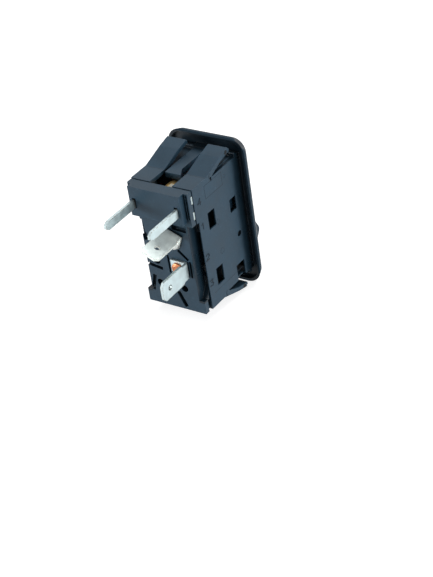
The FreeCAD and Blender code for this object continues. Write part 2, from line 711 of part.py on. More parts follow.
def flat_terminal(name, level, shift, turn, hole_back):
    """A 6.3 mm blade that stands on a riveted foot: rivet at the origin, blade towards -X."""
    body = new_body(name, x="-pole_offset", y="base_face", z=level, axis=(0, 1, 0), angle=turn)
    foot = [f"({shift}) {sign} blade_root / 2" for sign in "-+"]
    edge = [f"({shift}) {sign} blade_width / 2" for sign in "-+"]
    tip, shoulder = "(blade_tip - base_face)", "(shoulder - base_face)"
    add(body, f"{name}_foot", "XZ_Plane", "0", "sheet",
        polygon(("-bend_reach", foot[0]), ("0.4 * foot_back", foot[0]),
                ("foot_back", f"{foot[0]} + 0.6 * foot_back"), ("foot_back", f"{foot[1]}"),
                ("-bend_reach", foot[1])))
    add(body, f"{name}_blade", "YZ_Plane", "-bend_reach", "-bend_reach + sheet", polygon(
        ("0", foot[0]), (f"{shoulder} - 0.5", foot[0]), (shoulder, edge[0]),
        (f"{tip} - blade_chamfer", edge[0]), (tip, f"{edge[0]} + blade_chamfer"),
        (tip, f"{edge[1]} - blade_chamfer"), (f"{tip} - blade_chamfer", edge[1]),
        (shoulder, edge[1]), (f"{shoulder} - 0.5", foot[1]), ("0", foot[1])))
    dress(body, "Fillet", f"{name}_bend", {"Radius": "1.2 * sheet"},
          lambda edge: lies_on(edge, "X", "-bend_reach") and lies_on(edge, "Y", "0"))
    cut(body, f"{name}_rivet_hole", "XZ_Plane", "0", "sheet", ("0", "0", "rivet_radius"))
    cut(body, f"{name}_hole", "YZ_Plane", "-bend_reach", "-bend_reach + sheet",
        (f"{tip} - {hole_back}", shift, "blade_hole"))


def make_terminal_base():
    body = new_body("terminal_base")
    plug_x = "(shell_width / 2 - shell_wall - plug_gap)"
    plug_z = "(shell_height / 2 - shell_wall - plug_gap)"
    seam = "(shell_depth + seam_gap)"
    bottom = "-(shell_height / 2)"
    add(body, "plug", "XZ_Plane", "plug_start", seam, rectangle(f"-{plug_x}", f"-{plug_z}", plug_x, plug_z))
    cut(body, "side_channels", "XZ_Plane", "plug_start", seam,
        rectangle(f"-{plug_x}", "-channel_low", "-lower_half", "channel_high"),
        rectangle("lower_half", "-channel_low", plug_x, "channel_high"))
    add(body, "lower_block", "XZ_Plane", f"{seam} - seam_gap", "base_face",
        rectangle("-lower_half", bottom, "lower_half", "rail_low + 0.5"))
    add(body, "rail", "XZ_Plane", seam, "rail_face",
        rectangle("-rail_half", "rail_low", "rail_half", "block_top"))
    add(body, "upper_block", "XZ_Plane", "rail_face", "block_face",
        rectangle("-block_half", "block_low", "block_half", "block_top"))
    foot_top = f"{bottom} + foot_rise"
    add(body, "feet", "XZ_Plane", seam, "base_face",
        rectangle("-foot_half", bottom, "-lower_half + 0.1", foot_top),
        rectangle("lower_half - 0.1", bottom, "foot_half", foot_top))
    ramp = polygon((seam, foot_top), (seam, f"{foot_top} - 0.5"), ("plug_start + 1", f"{foot_top} - 0.5"),
                   ("plug_start + 1", f"{bottom} + ramp_rise"))
    ramp_x = "(shell_width / 2 - channel_skin - plug_gap)"
    add(body, "left_ramp", "YZ_Plane", f"-{ramp_x}", "-lower_half + 0.1", ramp)
    add(body, "right_ramp", "YZ_Plane", "lower_half - 0.1", ramp_x, ramp)
    middle, rim = "(block_half + rail_half - rail_rim) / 2", "(rail_half - rail_rim)"
    for side, sign in (("left", -1), ("right", 1)):
        spans = (("block_half", f"({middle} - rail_rib / 2)"), (f"({middle} + rail_rib / 2)", rim))
        cut(body, f"{side}_rail_recesses", "XZ_Plane", f"{seam} + 0.6", "rail_face",
            *(rectangle(f"{sign} * {start}", "block_low + 1.2", f"{sign} * {end}", "block_top - 0.5")
              for start, end in spans))

    room = (f"({plug_x} - plug_skirt - 0.7)", f"({plug_z} - plug_skirt)", "(rail_low - plug_skirt)")
    add(body, "chamber", "XZ_Plane", "plug_start - chamber_length", "plug_start + 0.2", rectangle(
        f"-({room[0]} + chamber_wall)", f"-({room[1]} + chamber_wall)",
        f"{room[0]} + chamber_wall", f"{room[2]} + chamber_wall"))
    cut(body, "contact_room", "XZ_Plane", "plug_start - chamber_length", "base_floor",
        rectangle(f"-{room[0]}", f"-{room[1]}", room[0], room[2]))
    supply_level = "rocker_level + contact_pitch"
    add(body, "supply_seat", "XZ_Plane", "base_floor - seat_height", "base_floor",
        ("-pole_offset", supply_level, "seat_radius"))
    cut(body, "rivet_holes", "XZ_Plane", "base_floor - seat_height", "base_face",
        ("-pole_offset", "rocker_level - load_rivet_drop", "rivet_radius"),
        ("-pole_offset", supply_level, "rivet_radius"))

    cut_base_face(body)
    cut_lamp_room(body, plug_z, seam)
    make_latches(body, plug_x)


def cut_base_face(body):
    """Spare rivet holes and the shallow grooves of the rear face."""
    cut(body, "spare_holes", "XZ_Plane", "base_face - hole_depth", "base_face",
        *((x, z, "hole_radius") for x, z in SPARE_HOLES))
    grooves = []
    for x0, z0, x1, z1, width in GROOVES:
        along = FreeCAD.Vector(x1 - x0, z1 - z0, 0).normalize()
        across = FreeCAD.Vector(-along.y, along.x, 0) * (width / 2)
        grooves.append(polygon((x0 + across.x, z0 + across.y), (x0 - across.x, z0 - across.y),
                               (x1 - across.x, z1 - across.y), (x1 + across.x, z1 + across.y)))
    cut(body, "grooves", "XZ_Plane", "base_face - groove_depth", "base_face", *grooves)


def cut_lamp_room(body, plug_z, seam):
    """Room for the bulb, its holder, the lamp terminals and their springs."""
    holder = "(holder_radius + 0.1)"
    cut(body, "holder_pocket", "XZ_Plane", "plug_start", "holder_end", ("0", "lamp_level", holder))
    cut(body, "holder_mouth", "XZ_Plane", "plug_start", "holder_end",
        rectangle(f"-{holder}", "lamp_level", holder, plug_z))
    back = "(shell_depth + sheet)"
    well_out, well_in = "(tab_inner + 0.1)", "(lamp_blade_offset - sheet)"
    low, high = "lamp_level - plate_half - 0.1", "lamp_level + plate_half + 0.1"
    strip_low, strip_high = "lamp_level - spring_half - 0.1", "lamp_level + spring_half + 0.1"

    def both(inner, lower, outer, upper):
        """The same rectangle on both sides of the middle."""
        return [rectangle(inner, lower, outer, upper), rectangle(f"-{outer}", lower, f"-{inner}", upper)]

    cut(body, "lamp_wells", "XZ_Plane", "plug_start", back, *both(well_in, low, well_out, high))
    cut(body, "tab_notches", "XZ_Plane", seam, back,
        *both("tab_inner", low, "rail_half", "lamp_level - tab_notch"),
        *both("tab_inner", "lamp_level + tab_notch", "rail_half", high))
    cut(body, "blade_slots", "XZ_Plane", back, "block_face",
        *both("(lamp_blade_offset - sheet / 2 - slot_play)", "lamp_level - lamp_blade_width / 2",
              "(lamp_blade_offset + sheet / 2)", "lamp_level + lamp_blade_width / 2 + slot_play"))
    cut(body, "cap_spring_way", "XZ_Plane", "plug_start", "shell_depth",
        rectangle(f"-{well_out}", strip_low, "-cap_radius", strip_high))
    cut(body, "tip_spring_way", "XZ_Plane", "holder_end", "holder_end + spring_sheet + 0.1",
        rectangle("-1.2 * spring_half", strip_low, well_out, strip_high))


def make_latches(body, plug_x):
    """Latch arms with ramped lugs that reach into the rear pair of windows on each side."""
    inset = "(latch_window_end - latch_window_start) / 4"
    arms = []
    for low, high in LATCH_WINDOWS.values():
        start, end = f"{low} + {inset}", f"{high} - {inset}"
        arms += [rectangle(f"{plug_x} - latch_thick", start, plug_x, end),
                 rectangle(f"-{plug_x}", start, f"-({plug_x} - latch_thick)", end)]
    add(body, "latch_arms", "XZ_Plane", "latch_window_end - latch_lug", "base_floor", *arms)
    lug = (("0", "latch_window_end - latch_lug"), ("latch_reach", "latch_window_end - latch_lug / 2"),
           ("latch_reach", "latch_window_end - 0.1"), ("0", "latch_window_end - 0.1"))
    lugs = [polygon(*((f"{sign} * ({plug_x} + {x})", y) for x, y in lug)) for sign in (-1, 1)]
    for name, (low, high) in LATCH_WINDOWS.items():
        add(body, f"{name}_lugs", "XY_Plane", f"{low} + {inset}", f"{high} - {inset}", *lugs)


def make_lamp_terminals():
    for side, sign in (("left", -1), ("right", 1)):
        body = new_body(f"lamp_terminal_{side}")
        blade = sorted((f"{sign} * (lamp_blade_offset - sheet / 2)",
                        f"{sign} * (lamp_blade_offset + sheet / 2)"), key=number)
        inner = f"{sign} * (lamp_blade_offset - sheet / 2)"
        rim, reach = f"{sign} * tab_inner", f"{sign} * tab_reach"
        low, high = "lamp_level - plate_half", "lamp_level + plate_half"
        add(body, f"plate_{side}", "XZ_Plane", "shell_depth", "shell_depth + sheet", polygon(
            (inner, low), (reach, low), (reach, "lamp_level - tab_notch - 0.1"),
            (rim, "lamp_level - tab_notch - 0.1"), (rim, "lamp_level + tab_notch + 0.1"),
            (reach, "lamp_level + tab_notch + 0.1"), (reach, high), (inner, high)))
        foot, head = "lamp_level - lamp_blade_width / 2", "lamp_level + lamp_blade_width / 2"
        add(body, f"blade_{side}", "YZ_Plane", blade[0], blade[1], polygon(
            ("shell_depth", foot), ("lamp_blade_tip - 1.5 * lamp_chamfer", foot),
            ("lamp_blade_tip", f"{foot} + lamp_chamfer"), ("lamp_blade_tip", f"{head} - lamp_chamfer"),
            ("lamp_blade_tip - 1.5 * lamp_chamfer", head), ("shell_depth", head)))


def make_lamp_springs():
    """Brass strips from the lamp terminals to the side and to the tip of the bulb's cap."""
    low, high = "lamp_level - spring_half", "lamp_level + spring_half"
    body = new_body("cap_contact_spring")
    run = "(cap_radius + 2.2)"
    touch = "(cap_radius + running_gap)"
    bend = "(cap_start + 2)"
    add(body, "cap_strip", "XY_Plane", low, high, polygon(
        ("-tab_inner", "shell_depth"), ("-tab_inner", "shell_depth - spring_sheet"),
        (f"-{run}", "shell_depth - spring_sheet"), (f"-{run}", bend),
        (f"-{touch}", f"{bend} - 1"), (f"-{touch}", f"{bend} + 1"),
        (f"-{run} + spring_sheet", f"{bend} + 0.6"), (f"-{run} + spring_sheet", "shell_depth")))
    body = new_body("tip_contact_spring")
    add(body, "tip_strip", "XY_Plane", low, high, polygon(
        ("tab_inner", "shell_depth"), ("tab_inner", "shell_depth - spring_sheet"),
        ("lamp_blade_offset", "shell_depth - spring_sheet"),
        ("lamp_blade_offset - sheet / 2", "holder_end"), ("-spring_half", "holder_end"),
        ("-spring_half", "holder_end + spring_sheet"),
        ("lamp_blade_offset - sheet", "holder_end + spring_sheet"),
        ("lamp_blade_offset - sheet / 2", "shell_depth")))


def make_bulb():
    body = new_body("bulb_cap", z="lamp_level")
    turned(body, "cap_form", [
        ("0", "cap_start", None), ("cap_radius", "cap_start", None), ("cap_radius", "cap_end - 0.4", None),
        ("cap_radius - 0.4", "cap_end", None), ("0.35 * cap_radius", "cap_end", None),
        ("0", "holder_end", None)])
    body = new_body("bulb_glass", z="lamp_level")
    turned(body, "glass_form", [
        ("0", "glass_front", None), ("0.65 * glass_radius", "glass_front + 0.24 * glass_radius", None),
        ("glass_radius", "glass_front + glass_radius", None), ("glass_radius", "cap_start", None),
        ("0", "cap_start", None)])


def make_bulb_holder():
    """A split collar round the rear of the cap, with one ear that keys it in the base."""
    body = new_body("bulb_holder", z="lamp_level")
    add(body, "holder_ring", "XZ_Plane", "holder_start", "holder_end",
        ("0", "0", "holder_radius"), ("0", "0", "cap_radius + running_gap"))
    cut(body, "holder_split", "XZ_Plane", "holder_start", "holder_end",
        rectangle("-0.75 * holder_radius", "0", "holder_radius", "holder_radius"))
    ear_side, ear_inner = "-(arm_inner - 0.1)", "-0.7 * cap_radius"
    add(body, "holder_ear", "XZ_Plane", "holder_start + 0.8", "holder_end", polygon(
        (ear_side, "0.4 * cap_radius"), ("-0.96 * cap_radius", "0.4 * cap_radius"),
        (ear_inner, "0.8 * cap_radius"), (ear_inner, "ear_height"), (ear_side, "ear_height")))


make_housing()
make_terminal_base()
make_indicator_lens()
make_rocker()
make_pivot_pin()
make_plunger()
make_plunger_spring()
make_contact_lever()
make_moving_contact()
make_fixed_contact()
make_fulcrum_bracket()
make_rivets()
flat_terminal("load_terminal", "rocker_level - load_rivet_drop", "load_shift", "0", "load_hole_back")
flat_terminal("supply_terminal", "rocker_level + contact_pitch", "supply_shift", "supply_angle",
              "supply_hole_back")
make_lamp_terminals()
make_lamp_springs()
make_bulb()
make_bulb_holder()
document.recompute()

for item in document.Objects:
    if {"Invalid", "Error"} & set(item.State):
        raise RuntimeError(f"{item.Name} did not build: {item.State}")
for part in parts:
    if part.Shape.isNull() or not part.Shape.isValid() or len(part.Shape.Solids) != 1:
        raise RuntimeError(f"{part.Label} is not one valid solid")

os.makedirs("parts", exist_ok=True)
for part in parts:
    part.Shape.exportStep(f"parts/{part.Label}.step")
    box = part.Shape.BoundBox
    print(f"{part.Label:22s} {part.Shape.Volume:9.2f} mm3  x {box.XMin:7.2f} {box.XMax:7.2f}"
          f"  y {box.YMin:7.2f} {box.YMax:7.2f}  z {box.ZMin:7.2f} {box.ZMax:7.2f}")
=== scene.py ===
import math

import bmesh
import bpy
from mathutils import Matrix, Vector


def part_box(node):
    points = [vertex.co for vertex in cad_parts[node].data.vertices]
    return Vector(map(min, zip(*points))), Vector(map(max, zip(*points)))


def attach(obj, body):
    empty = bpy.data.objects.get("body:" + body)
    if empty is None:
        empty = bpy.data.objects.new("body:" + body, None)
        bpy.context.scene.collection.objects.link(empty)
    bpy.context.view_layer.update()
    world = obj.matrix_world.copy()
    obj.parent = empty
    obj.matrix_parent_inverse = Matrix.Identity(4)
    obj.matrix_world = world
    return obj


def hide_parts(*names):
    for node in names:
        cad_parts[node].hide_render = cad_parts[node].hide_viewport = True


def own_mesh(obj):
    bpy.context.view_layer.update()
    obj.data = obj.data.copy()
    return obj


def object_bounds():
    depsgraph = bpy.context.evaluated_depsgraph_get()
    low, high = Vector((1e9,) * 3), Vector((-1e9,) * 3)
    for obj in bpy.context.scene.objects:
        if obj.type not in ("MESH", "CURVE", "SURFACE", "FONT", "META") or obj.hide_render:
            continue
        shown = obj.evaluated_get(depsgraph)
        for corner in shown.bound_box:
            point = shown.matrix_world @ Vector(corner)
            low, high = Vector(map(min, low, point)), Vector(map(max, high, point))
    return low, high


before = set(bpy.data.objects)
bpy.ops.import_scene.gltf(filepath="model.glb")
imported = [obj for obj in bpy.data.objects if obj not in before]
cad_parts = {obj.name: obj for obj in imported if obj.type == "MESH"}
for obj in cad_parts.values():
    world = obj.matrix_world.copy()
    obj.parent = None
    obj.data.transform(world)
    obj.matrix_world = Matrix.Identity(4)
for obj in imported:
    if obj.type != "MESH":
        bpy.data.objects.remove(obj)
cad_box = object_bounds()

# The pieces are made in millimetres and turned to metres when they are done. All else is in metres.
MM = 0.001

# Where the housing's faces lie, in millimetres from the origin.
WALL_X = -10.6        # the side wall beside the numbers; the other side wall mirrors it
HALF_HEIGHT = 20.75   # the top wall, which the bottom wall mirrors
ARM_INNER = 3.9       # a snap arm's flank towards the middle
ARM_OUTER = 10.5      # and the one away from it

# The four snap arms: a name, the sign of x and the sign of z.
ARMS = (("top_left", 1, 1), ("top_right", -1, 1), ("bottom_left", 1, -1), ("bottom_right", -1, -1))

# Raised lines on the side wall, in millimetres: y and z of their points, how wide they are and how
# far they rise.
NUMBER_LEVELS = (("4", 14.5), ("1", 6.4), ("2", -4.2), ("3", -13.2))
NUMBER_START, NUMBER_SIZE, NUMBER_STROKE, NUMBER_RISE = 21.4, 1.9, 0.30, 0.10
INSERT_CORNERS = ((8.6, 14.6), (17.4, 14.6), (17.4, 18.8), (8.6, 18.8))
INSERT_STROKE = 0.14
GATE_ENDS = ((4.4, -16.4), (19.8, -16.4))
GATE_STROKE = 0.12
MOULD_LINE_RISE = 0.03
EJECTOR_PINS = ((13.2, 4.6, 0.9), (13.2, -5.4, 0.9), (7.2, 16.7, 0.5))  # y, z and radius
EJECTOR_SIDES, EJECTOR_STROKE, EJECTOR_RISE = 24, 0.08, 0.025
CROWN_INSET = 0.3     # the share of its half width by which a line narrows at its top

# Marks at each snap arm, in millimetres.
RIDGE_FRONT, RIDGE_BACK, RIDGE_HALF, RIDGE_ROUNDING = 0.72, 1.18, 0.16, 0.08
FOLD_FRONT, FOLD_BACK, FOLD_SUNK, FOLD_PROUD, FOLD_ROUNDING = 16.0, 16.14, 0.05, 0.02, 0.01
SLIT_Y, SLIT_Z, SLIT_RADIUS, SLIT_STROKE, SLIT_RISE = 13.3, 20.2, 1.1, 0.24, 0.02
SLIT_TURNS = range(-55, 56, 11)  # degrees about the slit's end
CORED_Y, CORED_Z, CORED_SIDES = 4.91, 23.24, 24
CORED_RADIUS, CORED_LIP, CORED_CHAMFER = 0.55, 0.70, 0.04
CORED_PROUD, CORED_FLOOR = 0.03, 0.005

# The plunger's spring in the rocker's stem, in millimetres.
STEM_PIVOT = Vector((-3.1, 3.7, -5.0))
STEM_TILT = math.radians(12.0)
BORE_FLOOR = 1.7      # from the pivot to the floor of the bore
COIL_LENGTH, COIL_RADIUS, COIL_TURNS, COIL_STEPS = 3.6, 1.15, 4, 28
WIRE_RADIUS, WIRE_SIDES = 0.175, 10

SMOOTH_ANGLE = 40     # degrees past which an edge of a small piece stays sharp
COIL_SMOOTH_ANGLE = 50

# Lights: a place, a size in metres and a power in watts. All of them aim at LIGHT_TARGET.
LIGHT_TARGET = (0.0, 0.012, 0.0)
LIGHTS = {
    "key_box": ((0.0, -0.50, 0.75), (0.7, 0.5), 4.6),
    "side_box": ((-0.80, -0.05, 0.12), (0.5, 0.26), 4.3),
    "fill_box": ((0.60, 0.60, 0.12), (0.5, 0.26), 5.4),
    "back_box": ((-0.30, 0.45, 0.75), (0.6, 0.6), 1.0),
}
WORLD_LIGHT, WORLD_SEEN = 0.24, 1.0   # the backdrop's strength as a light, and as it is seen
FLOOR_GLOW = 0.74                     # what lifts the floor to white where it is seen
FLOOR_HALF, FLOOR_GAP = 6.0, 0.00002

CAMERA_EYE = Vector((-234.036, 304.402, 224.561))  # millimetres
CAMERA_TURN = (218.05, 33.5, -8.95)   # azimuth, elevation and roll in degrees

# Black plastic: how fully an effect covers, and its tone as a share of the colour that it changes.
SCUFF_COVER, SCUFF_TONE = 0.5, 1.7
# Painted shade: the dark tone in slots and recesses.
SLOT_SHADE_COVER, SLOT_SHADE_TONE = 0.95, 0.24
WORN_COVER, WORN_TONE = 0.7, 2.1
RIM_TONE, RIM_ROUGHER = 0.6, 0.45
# Smoother faces: the smoothing is real, the darker tone is painted shade.
POLISH_SHADE_TONE, POLISH_SMOOTHER = 0.24, 0.18
# Plated sheet, in the same way.
CLOUD_TONE = 0.86
# Painted shade: the dark tone in the sheet's holes and recesses.
HOLLOW_SHADE_COVER, HOLLOW_SHADE_TONE = 0.8, 0.25

MASK_STEEPNESS = 4000.0   # a mask that starts at a limit is full 0.25 mm past it


def feed(tree, value, socket):
    """Links another node's output to a socket, or sets the socket to a plain value."""
    if hasattr(value, "is_linked"):
        tree.links.new(value, socket)
    else:
        socket.default_value = value


def math_node(tree, operation, first, second=0.0, clamp=False):
    """A math node's result, from outputs or plain numbers."""
    node = tree.nodes.new("ShaderNodeMath")
    node.operation = operation
    node.use_clamp = clamp
    feed(tree, first, node.inputs[0])
    feed(tree, second, node.inputs[1])
    return node.outputs[0]


def smooth_step(tree, value, none_at, full_at):
    """0 where the value is none_at or past it, 1 where it is full_at or past it, soft between."""
    step = tree.nodes.new("ShaderNodeMapRange")
    step.interpolation_type = "SMOOTHSTEP"
    tree.links.new(value, step.inputs["Value"])
    tree.links.new(none_at, step.inputs["From Min"])
    tree.links.new(full_at, step.inputs["From Max"])
    return step.outputs["Result"]


def steep_step(tree, more, less):
    """0 where more is below less, and 1 soon after it has passed it."""
    past = math_node(tree, "SUBTRACT", more, less)
    return math_node(tree, "MULTIPLY", past, MASK_STEEPNESS, clamp=True)


def spread(tree, mask, low, high):
    """A value that runs from low to high as the mask runs from 0 to 1."""
    reach = tree.nodes.new("ShaderNodeMapRange")
    tree.links.new(mask, reach.inputs["Value"])
    reach.inputs["To Min"].default_value = low
    reach.inputs["To Max"].default_value = high
    return reach.outputs["Result"]


def own_place(tree):
    """The place of the shaded point in the piece's own coordinates."""
    return tree.nodes.new("ShaderNodeTexCoord").outputs["Object"]


def own_axes(tree):
    """The same place as separate X, Y and Z outputs."""
    split = tree.nodes.new("ShaderNodeSeparateXYZ")
    tree.links.new(own_place(tree), split.inputs["Vector"])
    return split.outputs


def new_group(name, inputs, outputs):
    """A shader node group with number inputs and named outputs; gives the tree and its two ends."""
    group = bpy.data.node_groups.new(name, "ShaderNodeTree")
    for label, value in inputs:
        socket = group.interface.new_socket(label, in_out="INPUT", socket_type="NodeSocketFloat")
        socket.default_value = value
    for label, kind in outputs:
        group.interface.new_socket(label, in_out="OUTPUT", socket_type=kind)
    start = group.nodes.new("NodeGroupInput")
    end = group.nodes.new("NodeGroupOutput")
    return group, start, end


def new_mask_group(name, inputs):
    """A node group whose one output is a mask."""
    return new_group(name, inputs, (("Mask", "NodeSocketFloat"),))


def make_moulded_grain():
    """Fine spark-eroded grain with a slow swell under it, as a height."""
    group, start, end = new_group("moulded_grain", (("Grain Scale", 5200.0), ("Swell", 0.35)),
                                  (("Height", "NodeSocketFloat"),))
    place = own_place(group)
    grain = group.nodes.new("ShaderNodeTexNoise")
    grain.inputs["Detail"].default_value = 3.0
    group.links.new(place, grain.inputs["Vector"])
    group.links.new(start.outputs["Grain Scale"], grain.inputs["Scale"])
    swell = group.nodes.new("ShaderNodeTexNoise")
    swell.inputs["Scale"].default_value = 160.0
    swell.inputs["Detail"].default_value = 1.0
    group.links.new(place, swell.inputs["Vector"])
    low = math_node(group, "MULTIPLY", swell.outputs["Fac"], start.outputs["Swell"])
    total = math_node(group, "ADD", grain.outputs["Fac"], low)
    group.links.new(total, end.inputs["Height"])
    return group


def make_patches():
    """Soft uneven patches from 0 to 1, for colour drift, handling marks and dust."""
    group, start, end = new_mask_group("patches", (("Scale", 300.0), ("Low", 0.4), ("High", 0.65)))
    noise = group.nodes.new("ShaderNodeTexNoise")
    noise.inputs["Detail"].default_value = 5.0
    noise.inputs["Roughness"].default_value = 0.62
    group.links.new(own_place(group), noise.inputs["Vector"])
    group.links.new(start.outputs["Scale"], noise.inputs["Scale"])
    mask = smooth_step(group, noise.outputs["Fac"], start.outputs["Low"], start.outputs["High"])
    group.links.new(mask, end.inputs["Mask"])
    return group


def make_soft_edge():
    """The small radius of every edge as a normal, and a mask of where it is."""
    group, start, end = new_group("soft_edge", (("Radius", 0.00015), ("Gain", 6.0)),
                                  (("Normal", "NodeSocketVector"), ("Mask", "NodeSocketFloat")))
    bevel = group.nodes.new("ShaderNodeBevel")
    bevel.samples = 6
    group.links.new(start.outputs["Radius"], bevel.inputs["Radius"])
    flat = group.nodes.new("ShaderNodeNewGeometry")
    both = group.nodes.new("ShaderNodeVectorMath")
    both.operation = "DOT_PRODUCT"
    group.links.new(bevel.outputs["Normal"], both.inputs[0])
    group.links.new(flat.outputs["Normal"], both.inputs[1])
    turned = math_node(group, "SUBTRACT", 1.0, both.outputs["Value"])
    mask = math_node(group, "MULTIPLY", turned, start.outputs["Gain"], clamp=True)
    group.links.new(bevel.outputs["Normal"], end.inputs["Normal"])
    group.links.new(mask, end.inputs["Mask"])
    return group


def make_depth_band():
    """1 in front of one depth, 0 behind a deeper one, and a soft step between."""
    group, start, end = new_mask_group("depth_band", (("Full", 0.001), ("Gone", 0.003)))
    depth = own_axes(group)["Y"]
    mask = smooth_step(group, depth, start.outputs["Gone"], start.outputs["Full"])
    group.links.new(mask, end.inputs["Mask"])
    return group


def make_outer_edge():
    """1 on the bezel's outside edge, past a half width or half height, and 0 inside."""
    group, start, end = new_mask_group("outer_edge", (("Half Width", 0.0128),
                                                      ("Half Height", 0.0243)))
    axes = own_axes(group)
    past = []
    for axis, limit in (("X", "Half Width"), ("Z", "Half Height")):
        reach = math_node(group, "ABSOLUTE", axes[axis])
        past.append(math_node(group, "SUBTRACT", reach, start.outputs[limit]))
    furthest = math_node(group, "MAXIMUM", past[0], past[1])
    mask = math_node(group, "MULTIPLY", furthest, MASK_STEEPNESS, clamp=True)
    group.links.new(mask, end.inputs["Mask"])
    return group


def make_flanks():
    """1 on what lies past a half width between two heights, for a moulding's side flanks."""
    group, start, end = new_mask_group("flanks", (("Half Width", 0.0083), ("Low", -0.0172),
                                                  ("High", 0.0096)))
    axes = own_axes(group)
    reach = math_node(group, "ABSOLUTE", axes["X"])
    outside = steep_step(group, reach, start.outputs["Half Width"])
    above = steep_step(group, axes["Z"], start.outputs["Low"])
    below = steep_step(group, start.outputs["High"], axes["Z"])
    mask = math_node(group, "MULTIPLY", math_node(group, "MULTIPLY", outside, above), below)
    group.links.new(mask, end.inputs["Mask"])
    return group


def make_recess_shade():
    """A mask for painted shade: 0 on open faces and 1 in slots, holes and corners, where the
    surface is hemmed in.
    """
    group, start, end = new_mask_group("recess_shade", (("Reach", 0.005), ("Open", 0.80),
                                                   ("Deep", 0.28)))
    openness = group.nodes.new("ShaderNodeAmbientOcclusion")
    openness.samples = 8
    group.links.new(start.outputs["Reach"], openness.inputs["Distance"])
    mask = smooth_step(group, openness.outputs["AO"], start.outputs["Open"], start.outputs["Deep"])
    group.links.new(mask, end.inputs["Mask"])
    return group


def make_turned_rings():
    """Rings about an axis that runs along Y, as a height, for what a rolling tool leaves."""
    group, start, end = new_group("turned_rings", (("Centre X", 0.0), ("Centre Z", 0.0),
                                                   ("Pitch", 0.0004)),
                                  (("Height", "NodeSocketFloat"),))
    axes = own_axes(group)
    squares = []
    for axis, centre in (("X", "Centre X"), ("Z", "Centre Z")):
        off = math_node(group, "SUBTRACT", axes[axis], start.outputs[centre])
        squares.append(math_node(group, "MULTIPLY", off, off))
    radius = math_node(group, "SQRT", math_node(group, "ADD", squares[0], squares[1]))
    turns = math_node(group, "DIVIDE", radius, start.outputs["Pitch"])
    wave = math_node(group, "SINE", math_node(group, "MULTIPLY", turns, math.tau))
    height = math_node(group, "ADD", math_node(group, "MULTIPLY", wave, 0.5), 0.5)
    group.links.new(height, end.inputs["Height"])
    return group


GRAIN = make_moulded_grain()
PATCHES = make_patches()
SOFT_EDGE = make_soft_edge()
DEPTH_BAND = make_depth_band()
OUTER_EDGE = make_outer_edge()
FLANKS = make_flanks()
RECESS_SHADE = make_recess_shade()
TURNED_RINGS = make_turned_rings()


def use_group(tree, group, **values):
    """The outputs of a node group in a material; an underscore in a keyword stands for a space."""
    node = tree.nodes.new("ShaderNodeGroup")
    node.node_tree = group
    for label, value in values.items():
        node.inputs[label.replace("_", " ")].default_value = value
    return node.outputs


def tone(colour, share):
    """A lighter or darker tone of a colour."""
    return tuple(share * value for value in colour)


def blend_colour(tree, amount, first, second):
    """A colour between two, each an output or a plain red, green and blue."""
    mix = tree.nodes.new("ShaderNodeMix")
    mix.data_type = "RGBA"
    tree.links.new(amount, mix.inputs["Factor"])
    for label, colour in (("A", first), ("B", second)):
        socket = [s for s in mix.inputs if s.name == label and s.type == "RGBA"][0]
        feed(tree, (*colour, 1.0) if isinstance(colour, tuple) else colour, socket)
    return [s for s in mix.outputs if s.type == "RGBA"][0]


def new_material(name):
    """A material with its node tree and its shader."""
    material = bpy.data.materials.new(name)
    material.use_nodes = True
    return material, material.node_tree, material.node_tree.nodes["Principled BSDF"]


def roughen(tree, shader, height, strength, depth, edge=None):
    """Bumps a surface by a height, on top of its softened edges if it has them."""
    bump = tree.nodes.new("ShaderNodeBump")
    bump.inputs["Strength"].default_value = strength
    bump.inputs["Distance"].default_value = depth
    tree.links.new(height, bump.inputs["Height"])
    if edge:
        tree.links.new(edge["Normal"], bump.inputs["Normal"])
    tree.links.new(bump.outputs["Normal"], shader.inputs["Normal"])


def black_plastic(name, deep, pale, rough, polish_and_shade_front=0.0, polish_and_shade_flanks=0.0):
    """Blue-black moulding: grain, worn edges, scuffs, painted shade in slots and recesses, and
    smoother faces that painted shade also darkens.
    """
    material, tree, shader = new_material(name)
    shader.inputs["Specular IOR Level"].default_value = 0.24
    edge = use_group(tree, SOFT_EDGE, Radius=0.00022, Gain=2.6)
    drift = use_group(tree, PATCHES, Scale=130.0, Low=0.35, High=0.7)["Mask"]
    scuffs = use_group(tree, PATCHES, Scale=1100.0, Low=0.60, High=0.72)["Mask"]
    shaded_recess = use_group(tree, RECESS_SHADE)["Mask"]
    rim = use_group(tree, OUTER_EDGE)["Mask"]
    band = use_group(tree, DEPTH_BAND, Full=0.0012, Gone=0.0042)["Mask"]
    flanks = use_group(tree, FLANKS)["Mask"]
    # Near the bezel's front and on the base's flanks the plastic is smoother, and painted shade
    # darkens it.
    front = math_node(tree, "SUBTRACT", band, rim, clamp=True)
    polish_and_shade = math_node(tree, "MAXIMUM", spread(tree, front, 0.0, polish_and_shade_front),
                         spread(tree, flanks, 0.0, polish_and_shade_flanks))

    colour = blend_colour(tree, drift, deep, pale)
    # Scuffs and worn edges are the plastic's own; the tones in recesses and on the smoother faces
    # are painted shade.
    for cover, shade in ((spread(tree, scuffs, 0.0, SCUFF_COVER), tone(pale, SCUFF_TONE)),
                         (spread(tree, shaded_recess, 0.0, SLOT_SHADE_COVER), tone(deep, SLOT_SHADE_TONE)),
                         (rim, tone(deep, RIM_TONE)),
                         (spread(tree, edge["Mask"], 0.0, WORN_COVER), tone(pale, WORN_TONE)),
                         (polish_and_shade, tone(deep, POLISH_SHADE_TONE))):
        colour = blend_colour(tree, cover, colour, shade)
    tree.links.new(colour, shader.inputs["Base Color"])

    finish = spread(tree, drift, rough - 0.05, rough + 0.06)
    finish = math_node(tree, "SUBTRACT", finish, spread(tree, polish_and_shade, 0.0, POLISH_SMOOTHER))
    finish = math_node(tree, "ADD", finish, spread(tree, rim, 0.0, RIM_ROUGHER), clamp=True)
    tree.links.new(finish, shader.inputs["Roughness"])
    grain = use_group(tree, GRAIN)["Height"]
    roughen(tree, shader, grain, strength=0.22, depth=0.00003, edge=edge)
    return material


